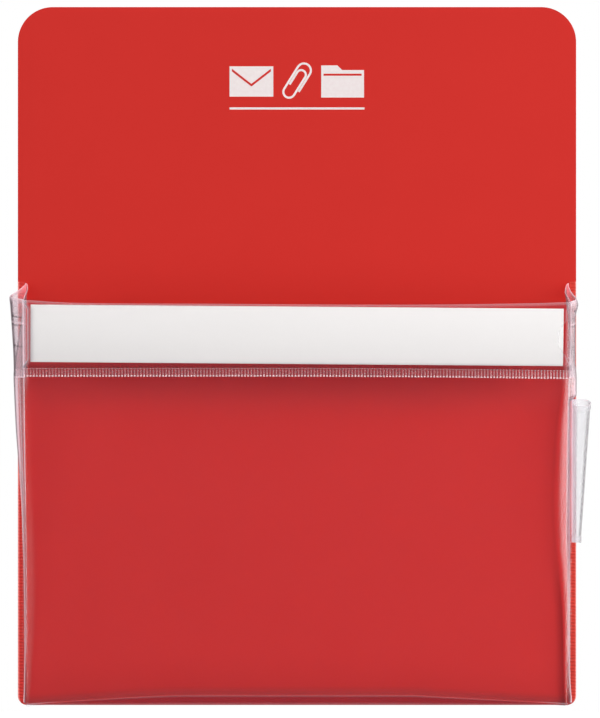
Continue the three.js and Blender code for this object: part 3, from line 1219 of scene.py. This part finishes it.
@dataclass
class WeldMargins(SubAssembly):
    """The ribbed strips where the pocket film is welded to the backing."""

    width: float = 2.9
    thickness: float = 0.4
    rib_pitch: float = 1.4
    rib_height: float = 0.36
    rib_sink: float = 0.1
    steps_per_rib: int = 8
    columns: int = 8
    rim: float = 0.2
    overhang: float = 0.1
    corner_radius: float = 4.0
    corner_share: float = 0.35
    least_width: float = 0.3
    bottom_ribs_x: float = 103.0
    bottom_ribs_fade: float = 8.0

    def build(self) -> None:
        """Makes the two side strips and the bottom one."""
        # The left strip takes the darker copy of the welded vinyl, which is painted shade.
        for side, finish in ((Side.LEFT, SHADED_WELDED_VINYL), (Side.RIGHT, WELDED_VINYL)):
            strip = self.side_strip(side)
            self.settle(strip, side.word + "_weld_strip", finish, [side.word + "_weld_margin"])
        # The bottom strip is painted darker, as shade under the fold.
        self.settle(self.bottom_strip(), "bottom_weld_strip", SHADE_PAINTED_VINYL, ["bottom_weld_margin"])

    def rib(self, along: float, across: float) -> float:
        """Gives the height of the ribbed face.

        Args:
            along: millimetres along the strip.
            across: the share across it.

        Returns:
            The height over the backing, lower at both rims.
        """
        shoulder = ease(across / self.rim) * ease((1 - across) / self.rim)
        return self.thickness + (self.rib_height * ribs(along / self.rib_pitch) - self.rib_sink) * shoulder

    def side_strip(self, side: Side) -> Mesh:
        """Makes one side strip, whose lower end follows the backing's corner.

        Args:
            side: where it lies.

        Returns:
            The closed strip.
        """
        places = self.places
        outer = abs(places.sheet_low.x)
        corner_z = places.sheet_low.z + self.corner_radius
        bottom = places.sheet_low.z + self.corner_share * self.corner_radius
        rows = round((places.margin_top - bottom) / self.rib_pitch) * self.steps_per_rib

        def place(across: float, up: float) -> Vector:
            """Returns the side strip's point at shares across and up."""
            z = blend(bottom, places.margin_top, up)
            below = max(corner_z - z, 0.0)
            cut = self.corner_radius - math.sqrt(self.corner_radius**2 - below**2)
            x = outer - self.width + across * (self.width - cut - self.overhang)
            return self.form.point(side.value * x, self.rib(z - bottom, across), z)

        return self.footed(placed_grid(self.columns, rows, place))

    def bottom_strip(self) -> Mesh:
        """Returns the strip below the bottom crease, smooth but for some ribs near its right end."""
        half_length = self.places.sheet_high.x - self.corner_radius
        bottom = self.places.sheet_low.z + self.overhang
        columns = round(2 * half_length / self.rib_pitch) * self.steps_per_rib

        def place(across: float, up: float) -> Vector:
            """Returns the bottom strip's point at shares across and up."""
            x = blend(-half_length, half_length, across)
            top = max(self.form.crease_height(x), bottom + self.least_width)
            ribbed = ease((x - self.bottom_ribs_x) / self.bottom_ribs_fade)
            height = blend(self.thickness, self.rib(x + half_length, up), ribbed)
            return self.form.point(x, height, blend(bottom, top, up))

        return self.footed(placed_grid(columns, self.columns, place))

    def footed(self, mesh: Mesh) -> Mesh:
        """Closes a ribbed face down to the backing and returns it."""
        for vert in drawn_out(mesh, mesh.faces[:]):
            vert.co.y = self.places.face * MM
        bmesh.ops.recalc_face_normals(mesh, faces=mesh.faces)
        return mesh


@dataclass
class SideWall:
    """A wall of film with one upright fold, from the weld to the front film.

    Its bottom is the pair of heights at its root and its front, and it stands ahead of the pocket
    film where it is a second layer. Its foot is flared out over the weld.
    """

    form: PocketForm
    edge: EdgeForm
    root: Profile
    bulge: Profile
    root_depth: float
    bottom: Pair
    top: Profile
    columns: int
    rows: int
    ahead: float = 0.0
    spread: float = 0.1
    flare: float = 0.0
    flare_share: float = 0.12
    fold_softness: float = 0.1
    wrinkles: tuple[Triple, ...] = ()

    def fold(self, share: float) -> float:
        """Returns how far the wall is out at a share of its depth, from 0 at its edges to 1 at its fold."""
        soft = self.fold_softness
        peak = math.hypot(1.0, soft) - soft
        return (math.hypot(1.0, soft) - math.hypot(2 * share - 1, soft)) / peak

    def dent(self, share: float, z: float) -> float:
        """Returns how far the wall's front half is dented by its small creases."""
        drawn = sum(depth * hump(z, height, width) for height, depth, width in self.wrinkles)
        return drawn * math.sin(math.pi * within(2 * share - 1))

    def sheet(self) -> Mesh:
        """Returns the wall as an open sheet."""

        def place(share: float, up: float) -> Vector:
            """Returns the wall's point at a share of its depth and a share up."""
            z = blend(blend(*self.bottom, share), self.top.at(share), up)
            end_x, end_depth = self.form.crease_end(self.edge, min(z, self.form.places.mouth_z))
            reach = abs(end_x) + self.ahead * self.spread
            foot = self.flare * within(1 - share / self.flare_share) ** 2
            dent = self.dent(share, z)
            x = blend(self.root.at(z), reach, share) + self.bulge.at(z) * self.fold(share) + foot - dent
            depth = blend(self.root_depth, end_depth + self.ahead, share) - dent
            return self.form.point(self.edge.side.value * x, depth, z)

        return placed_grid(self.columns, self.rows, place)


@dataclass
class PocketFilm(SubAssembly):
    """The clear pocket: its front with the bottom fold, and the two folded gussets."""

    thickness: float = 0.35
    weld_depth: float = 0.45
    weld_height: float = 0.55
    least_fold: float = 0.4
    fold_rise: float = 0.8
    edge_columns: int = 18
    middle_columns: int = 72
    turn_rows: int = 14
    panel_rows: int = 84
    gusset_bottom: Pair = (-147.2, -150.4)
    gusset_ear: float = 4.2
    gusset_root_drop: float = 0.6
    gusset_keep: float = 0.11
    gusset_columns: int = 36
    gusset_rows: int = 180
    gusset_flare: float = 0.7

    def build(self) -> None:
        """Makes the front film and both gussets."""
        front = thicken(self.front(), self.thickness)
        stands_for = ["pocket_front_panel", "bottom_fold"]
        self.settle(front, "pocket_front_film", POCKET_FILM, stands_for, Body.FRONT)
        for edge in EDGES:
            word = edge.side.word
            wall = thicken(self.gusset(edge), self.thickness)
            piece = self.settle(wall, word + "_gusset_film", GUSSET_FILM, [word + "_gusset"])
            self.fold_flat(piece, self.gusset_keep)

    def front(self) -> Mesh:
        """Returns the front film from its bottom weld round the crease and up to the mouth."""
        columns = self.middle_columns + 2 * self.edge_columns
        rows = self.turn_rows + self.panel_rows

        def place(across: float, up: float) -> Vector:
            """Returns the front film's point at shares across and up."""
            column = round(across * columns)
            row = round(up * rows)
            low_x = self.column_place(column, self.form.crease_z)[0]
            if row < self.turn_rows:
                share = row / self.turn_rows
                depth, z = self.bottom_turn(low_x, share)
                x, back = self.column_place(column, z)
                return self.form.point(x, max(depth - back * share, self.weld_depth), z)
            start = self.form.crease_height(low_x) + self.fold_rise
            mouth = self.form.mouth.at(self.column_place(column, self.places.mouth_z)[0])
            z = blend(start, mouth, (row - self.turn_rows) / self.panel_rows)
            x, back = self.column_place(column, z)
            return self.form.point(x, max(self.form.depth(x, z) - back, self.weld_depth), z)

        return placed_grid(columns, rows, place)

    def bottom_turn(self, x: float, share: float) -> Pair:
        """Gives a place in the bottom fold, which leaves the weld straight and turns tightly at the crease.

        Args:
            x: the place across the pocket.
            share: how far from the weld to the flat front, from 0 to 1.

        Returns:
            The depth and the Z there.
        """
        crease = self.form.crease_height(x)
        front_z = crease + self.fold_rise
        weld_z = min(self.places.sheet_low.z + self.weld_height, crease - self.least_fold)
        weld = Vector((self.weld_depth, weld_z))
        corner = Vector((self.form.depth(x, crease), crease))
        front = Vector((self.form.depth(x, front_z), front_z))
        place = weld.lerp(corner, share).lerp(corner.lerp(front, share), share)
        return place.x, place.y

    def column_place(self, column: int, z: float) -> Pair:
        """Gives the place of a column of the front film.

        Args:
            column: its number, from the left.
            z: the height.

        Returns:
            The X there, and how far the film has turned back from the flat front.
        """
        edge = self.edge_columns
        last = self.middle_columns + edge
        if column < edge:
            return self.form.crease(LEFT_EDGE, z, 1 - column / edge)
        if column > last:
            return self.form.crease(RIGHT_EDGE, z, (column - last) / edge)
        left, right = (self.form.crease(side, z, 0.0)[0] for side in EDGES)
        return blend(left, right, (column - edge) / self.middle_columns), 0.0

    def gusset(self, edge: EdgeForm) -> Mesh:
        """Makes one folded gusset, from the weld strip to the front crease.

        Args:
            edge: the form of its side.

        Returns:
            The open sheet.
        """
        mouth = self.form.mouth.at(edge.side.value * self.places.half_width)
        root_top = self.places.margin_top - self.gusset_root_drop
        wall = SideWall(
            form=self.form,
            edge=edge,
            root=edge.root,
            bulge=edge.bulge,
            root_depth=self.weld_depth,
            bottom=self.gusset_bottom,
            top=Profile(((0.0, root_top), (0.5, mouth + self.gusset_ear), (1.0, mouth))),
            columns=self.gusset_columns,
            rows=self.gusset_rows,
            flare=self.gusset_flare,
        )
        return wall.sheet()


@dataclass
class LabelStrip(SubAssembly):
    """The label strip on the mouth: its window film, ribbed weld, ends and card."""

    thickness: float = 0.35
    ahead: float = 1.35
    end_x: float = 117.0
    end_cut: float = 2.2
    end_ramp: float = 4.2
    notch_z: float = 7.3
    notch_half: float = 7.7
    notch_depth: float = 3.2
    ribs: int = 174
    rib_height: float = 0.12
    rib_sharpness: float = 2.0
    bead_height: float = 0.2
    bead_at: float = 0.1
    bead_length: float = 0.09
    weld_ahead: float = 0.42
    weld_rise: float = 0.2
    band_trim: float = 0.6
    band_droop: Profile = Profile(((-117, 0.4), (0, 0.45), (60, 0.1), (117, -0.6)))
    steps_per_rib: int = 10
    band_rows: int = 16
    top_lip: float = 0.1
    ripple: float = 0.12
    ripple_length: float = 17.0
    window_columns: int = 90
    window_rows: int = 72
    wing_root: Profile = Profile(((-10, 116.4), (32, 116.4)))
    wing_root_depth: float = 0.85
    wing_root_drop: float = 0.8
    wing_ear: float = 1.9
    wing_lip: float = 0.3
    wing_softness: float = 0.07
    wing_keep: float = 0.13
    wing_columns: int = 34
    wing_rows: int = 96
    card_edge: float = 0.06
    card_merge: float = 0.01
    card_flatness: float = math.radians(1.0)

    def build(self) -> None:
        """Makes the window, the ribbed band, both ends and the card."""
        window = thicken(self.window(), self.thickness)
        self.settle(window, "label_window_film", LABEL_FILM, ["label_window"], Body.FRONT)
        band = thicken(self.band(), self.thickness)
        pressed = replace(PRESSED_FILM, ribs=self.ribs)
        self.settle(band, "label_weld_ribs", pressed, ["label_weld_band"], Body.FRONT)
        for edge in EDGES:
            word = edge.side.word
            wall = thicken(self.wing(edge), self.thickness)
            piece = self.settle(wall, word + "_label_end", LABEL_END_FILM, [word + "_label_wing"])
            self.fold_flat(piece, self.wing_keep)
        self.settle(self.card(), "index_card", WHITE_CARD, ["label_card"], Body.CARD)

    def end_at(self, side: Side, z: float) -> float:
        """Gives the end of the window film, which is cut back and has a thumb notch on the right.

        Args:
            side: which end.
            z: the height.

        Returns:
            The X of the end.
        """
        mouth = self.form.mouth.at(side.value * self.end_x)
        ramp = min(mouth - z, z - self.places.band_top) / self.end_ramp
        end = self.end_x - self.end_cut * ease(ramp)
        rise = abs(z - self.notch_z)
        if side is Side.RIGHT and rise < self.notch_half:
            radius = (self.notch_half**2 + self.notch_depth**2) / (2 * self.notch_depth)
            end -= math.sqrt(radius**2 - rise**2) - (radius - self.notch_depth)
        return side.value * end

    def window(self) -> Mesh:
        """Returns the clear film in front of the card."""

        def place(across: float, up: float) -> Vector:
            """Returns the window's point at shares across and up."""
            x_flat = blend(-self.end_x, self.end_x, across)
            z = blend(self.band_top(x_flat), self.form.mouth.at(x_flat) + self.top_lip, up)
            x = blend(self.end_at(Side.LEFT, z), self.end_at(Side.RIGHT, z), across)
            ripple = self.ripple * math.sin(x / self.ripple_length) * math.sin(math.pi * up)
            return self.form.point(x, self.form.lean(z) + self.ahead + ripple, z)

        return placed_grid(self.window_columns, self.window_rows, place)

    def band_top(self, x: float) -> float:
        """Returns the Z of the ribbed weld's upper edge, which hangs a little at the right."""
        return self.places.band_top - self.band_trim + self.band_droop.at(x)

    def band(self) -> Mesh:
        """Returns the ribbed weld under the window."""

        def place(across: float, up: float) -> Vector:
            """Returns the ribbed weld's point at shares across and up."""
            x = blend(-self.end_x, self.end_x, across)
            z = blend(self.places.band_bottom + self.band_droop.at(x), self.band_top(x), up)
            crest = ribs(self.ribs * across) ** self.rib_sharpness
            rise = ease((up - 1) / self.weld_rise + 1)
            bead = self.bead_height * hump(up, self.bead_at, self.bead_length)
            ahead = blend(self.weld_ahead, self.ahead, rise) + crest * (self.rib_height * (1 - rise) + bead)
            return self.form.point(x, self.form.lean(z) + ahead, z)

        return placed_grid(self.ribs * self.steps_per_rib, self.band_rows, place)

    def wing(self, edge: EdgeForm) -> Mesh:
        """Makes one end of the label strip, a crumpled second layer outside the gusset.

        Args:
            edge: the form of its side.

        Returns:
            The open sheet.
        """
        mouth = self.form.mouth.at(edge.side.value * self.end_x)
        bottom = self.places.band_bottom
        root_top = self.places.margin_top - self.wing_root_drop
        wall = SideWall(
            form=self.form,
            edge=edge,
            root=self.wing_root,
            bulge=edge.end_bulge,
            root_depth=self.wing_root_depth,
            bottom=(bottom, bottom),
            top=Profile(((0.0, root_top), (0.5, mouth + self.wing_ear), (1.0, mouth + self.wing_lip))),
            columns=self.wing_columns,
            rows=self.wing_rows,
            ahead=self.ahead,
            fold_softness=self.wing_softness,
            wrinkles=edge.wrinkles,
        )
        return wall.sheet()

    def card(self) -> Mesh:
        """Returns the index card: a copy of its solid with merged corners and softened edges."""
        edge_segments = 2
        mesh = bmesh.new()
        mesh.from_mesh(frame["nodes"]["label_card"].data)
        bmesh.ops.remove_doubles(mesh, verts=mesh.verts, dist=self.card_merge * MM)
        bmesh.ops.dissolve_limit(mesh, angle_limit=self.card_flatness, verts=mesh.verts, edges=mesh.edges)
        rounded(mesh, mesh.edges[:], self.card_edge, edge_segments)
        return mesh


@dataclass
class PenSleeve(SubAssembly):
    """The tapered film sleeve on the right edge, with its hems and its welded tab."""

    thickness: float = 0.4
    inner_x: float = 118.2
    rear_y: float = -3.2
    top: float = -18.5
    bottom: float = -80.0
    top_width: float = 7.9
    bottom_width: float = 3.7
    top_depth: float = 9.0
    bottom_depth: float = 7.0
    squareness: float = 2.1
    mouth_slant: float = 3.2
    hem_height: float = 3.0
    hem_step: float = 0.22
    hem_fade: float = 0.3
    sides: int = 64
    rings: int = 80
    tab_inner_x: float = 118.0
    tab_trim: float = 0.1
    tab_depth: float = 0.95
    tab_wave: float = 0.06
    tab_waves: float = 14.0
    tab_columns: int = 6
    tab_rows: int = 60

    def build(self) -> None:
        """Makes the sleeve and its tab."""
        self.settle(self.tube(), "pen_sleeve_film", SLEEVE_FILM, ["pen_sleeve"], Body.SLEEVE)
        tab = thicken(self.tab(), self.thickness)
        self.settle(tab, "pen_sleeve_weld", TAB_FILM, ["pen_sleeve_tab"])

    def oval(self, cosine: float) -> float:
        """Returns a cosine squared off as on a flattened tube."""
        return math.copysign(abs(cosine) ** (2 / self.squareness), cosine)

    def hem(self, share: float) -> float:
        """Returns how far the hems stand out at a share of the sleeve's height."""
        height = share * (self.top - self.bottom)
        nearest = min(height, self.top - self.bottom - height)
        return self.hem_step * ease((self.hem_height - nearest) / self.hem_fade + 0.5)

    def tube(self) -> Mesh:
        """Returns the hemmed tube, open at both ends."""
        mesh = bmesh.new()
        bmesh.ops.create_cone(
            mesh,
            cap_ends=False,
            segments=self.sides,
            radius1=1.0,
            radius2=1.0,
            depth=1.0,
        )
        risers = [edge for edge in mesh.edges if abs(edge.verts[0].co.z - edge.verts[1].co.z) > 0.5]
        bmesh.ops.subdivide_edges(mesh, edges=risers, cuts=self.rings - 1, use_grid_fill=True)
        surface = mesh.loops.layers.uv.new(SURFACE_MAP)
        for face in mesh.faces:
            for loop in face.loops:
                loop[surface].uv = (loop.vert.co.x / 2 + 0.5, loop.vert.co.z + 0.5)
        for vert in mesh.verts:
            vert.co = self.tube_point(vert.co)
        bmesh.ops.recalc_face_normals(mesh, faces=mesh.faces)
        return thicken(mesh, self.thickness)

    def tube_point(self, place: Vector) -> Vector:
        """Moves a point from a round tube of radius and height 1 to the sleeve.

        Args:
            place: the point on the round tube.

        Returns:
            The point on the sleeve, in metres.
        """
        share = place.z + 0.5
        width = blend(self.bottom_width, self.top_width, share)
        depth = blend(self.bottom_depth, self.top_depth, share)
        inset = self.hem_step + self.thickness / 2 - self.hem(share)
        sideways = self.oval(place.x) * (width / 2 - inset)
        forward = self.oval(-place.y) * (depth / 2 - inset)
        slant = self.mouth_slant * share * (forward / depth + 0.5)
        z = blend(self.bottom, self.top, share) - slant
        return metres(self.inner_x + width / 2 + sideways, self.rear_y - depth / 2 - forward, z)

    def tab(self) -> Mesh:
        """Returns the flat tab by which the sleeve is welded to the edge of the backing."""
        outer_x = self.places.sheet_high.x - self.tab_trim

        def place(across: float, up: float) -> Vector:
            """Returns the tab's point at shares across and up."""
            x = blend(self.tab_inner_x, outer_x, across)
            depth = self.tab_depth + self.tab_wave * math.cos(self.tab_waves * up)
            return self.form.point(x, depth, blend(self.bottom, self.top, up))

        return placed_grid(self.tab_columns, self.tab_rows, place)


@dataclass(frozen=True)
class Lamp:
    """A soft lamp that looks at the object, with its place and size in metres and its power in watts."""

    name: str
    place: Triple
    size: Pair
    power: float

    def build(self) -> None:
        """Makes the lamp, which neither the camera nor a reflection shows."""
        data = bpy.data.lights.new(self.name, "AREA")
        data.shape = "RECTANGLE"
        data.size, data.size_y = self.size
        data.energy = self.power
        lamp = bpy.data.objects.new(self.name, data)
        lamp.location = self.place
        lamp.rotation_mode = "QUATERNION"
        lamp.rotation_quaternion = (-Vector(self.place)).to_track_quat("-Z", "Y")
        lamp.visible_camera = False
        lamp.visible_glossy = False
        bpy.context.scene.collection.objects.link(lamp)


@dataclass
class Studio:
    """Floor, lamps, surroundings and camera.

    The room is what reflections show, and each of its fades is the pair of shares of a direction
    between which it goes over to a glow.
    """

    floor_z: float = -260.0
    floor_radius: float = 900.0
    floor_front: float = -20.0
    floor_sides: int = 96
    floor_colour: Triple = (0.6, 0.6, 0.6)
    floor_glow: float = 0.66
    white: Triple = (1.0, 1.0, 1.0)
    fill: float = 0.34
    room_front: Triple = (0.05, 0.05, 0.36)
    room_fade: Pair = (-0.4, 0.8)
    right_glow: Triple = (9.0, 9.0, 9.0)
    right_fade: Pair = (0.3, 0.8)
    left_glow: Triple = (1.8, 1.8, 1.8)
    left_fade: Pair = (-0.1, -1.0)
    film_layers: int = 48
    camera_distance: float = 2.5
    camera_end: float = 100.0
    sensor: float = 36.0
    lamps: tuple[Lamp, ...] = (
        Lamp("key_light", (0.1, -1.8, 1.26), (1.2, 1.2), 4.0),
        Lamp("upper_right_light", (1.9, -1.25, 1.05), (1.8, 1.0), 30.0),
        Lamp("upper_left_light", (-1.7, -1.25, 1.0), (1.6, 1.0), 13.0),
        Lamp("right_light", (1.5, -1.0, -0.1), (1.2, 1.7), 10.0),
        Lamp("left_light", (-1.5, -1.0, -0.1), (0.8, 1.7), 7.5),
        Lamp("rear_light", (-0.9, 1.7, 1.2), (1.2, 1.2), 22.0),
    )

    def build(self) -> None:
        """Makes the whole setting."""
        bpy.context.scene.view_settings.view_transform = "Standard"
        bpy.context.scene.cycles.transparent_max_bounces = self.film_layers
        self.floor()
        self.world()
        for lamp in self.lamps:
            lamp.build()
        self.camera()

    def floor(self) -> None:
        """Makes a pale round floor that keeps the object's shadow."""
        mesh = bmesh.new()
        radius = self.floor_radius * MM
        bmesh.ops.create_circle(mesh, cap_ends=True, segments=self.floor_sides, radius=radius)
        middle = metres(0, self.floor_front + self.floor_radius, self.floor_z)
        bmesh.ops.translate(mesh, verts=mesh.verts, vec=middle)
        bench = Bench(bpy.data.materials.new("pale_floor"))
        matt = bench.add("BsdfDiffuse", Color=self.floor_colour)
        glow = bench.add("Emission", Strength=bench.maths("MULTIPLY", bench.seen(), self.floor_glow))
        linked(mesh, "floor", bench.shown(bench.joined("AddShader", matt, glow)))

    def world(self) -> None:
        """Makes the surroundings: white where seen, an even fill, and a room that reflections show."""
        bench = Bench(bpy.data.worlds.new("studio"))
        way = bench.add("SeparateXYZ", Vector=bench.add("TexCoord").outputs["Generated"]).outputs
        room = bench.tones(bench.fade(way["Y"], *self.room_fade), self.room_front, self.white)
        room = bench.tones(bench.fade(way["X"], *self.right_fade), room, self.right_glow)
        room = bench.tones(bench.fade(way["X"], *self.left_fade), room, self.left_glow)
        mirrored = bench.add("Background", Color=room, Strength=1.0)
        even = bench.add("Background", Color=self.white, Strength=self.fill)
        white = bench.add("Background", Color=self.white, Strength=1.0)
        glossy = bench.add("LightPath").outputs["Is Glossy Ray"]
        unseen = bench.joined("MixShader", even, mirrored, Fac=glossy)
        sky = bench.joined("MixShader", unseen, white, Fac=bench.seen())
        bpy.context.scene.world = bench.shown(sky, "OutputWorld")

    def camera(self) -> None:
        """Makes the camera, straight in front, with the photograph's frame."""
        data = bpy.data.cameras.new("camera")
        frame_height = PHOTO_HEIGHT / PIXELS_PER_MM * MM
        data.sensor_width = self.sensor
        data.lens = self.sensor * self.camera_distance / frame_height
        data.clip_end = self.camera_end
        camera = bpy.data.objects.new("camera", data)
        x = (PHOTO_WIDTH / 2 - BACKING_CENTRE_PIXEL[0]) / PIXELS_PER_MM
        z = (BACKING_CENTRE_PIXEL[1] - PHOTO_HEIGHT / 2) / PIXELS_PER_MM
        camera.location = metres(x, -self.camera_distance / MM, z)
        camera.rotation_euler = (math.radians(90), 0, 0)
        bpy.context.scene.collection.objects.link(camera)
        bpy.context.scene.camera = camera


def main() -> None:
    """Builds the setting and every sub-assembly, in order."""
    logging.basicConfig(level=logging.INFO, format="%(name)s: %(message)s")
    Studio().build()
    places = Places.read()
    form = PocketForm(places)
    for part in (Backing, WeldMargins, PocketFilm, LabelStrip, PenSleeve):
        part(places, form).build()
        LOG.info("%s is built", part.__name__)


if __name__ == "__main__":
    main()
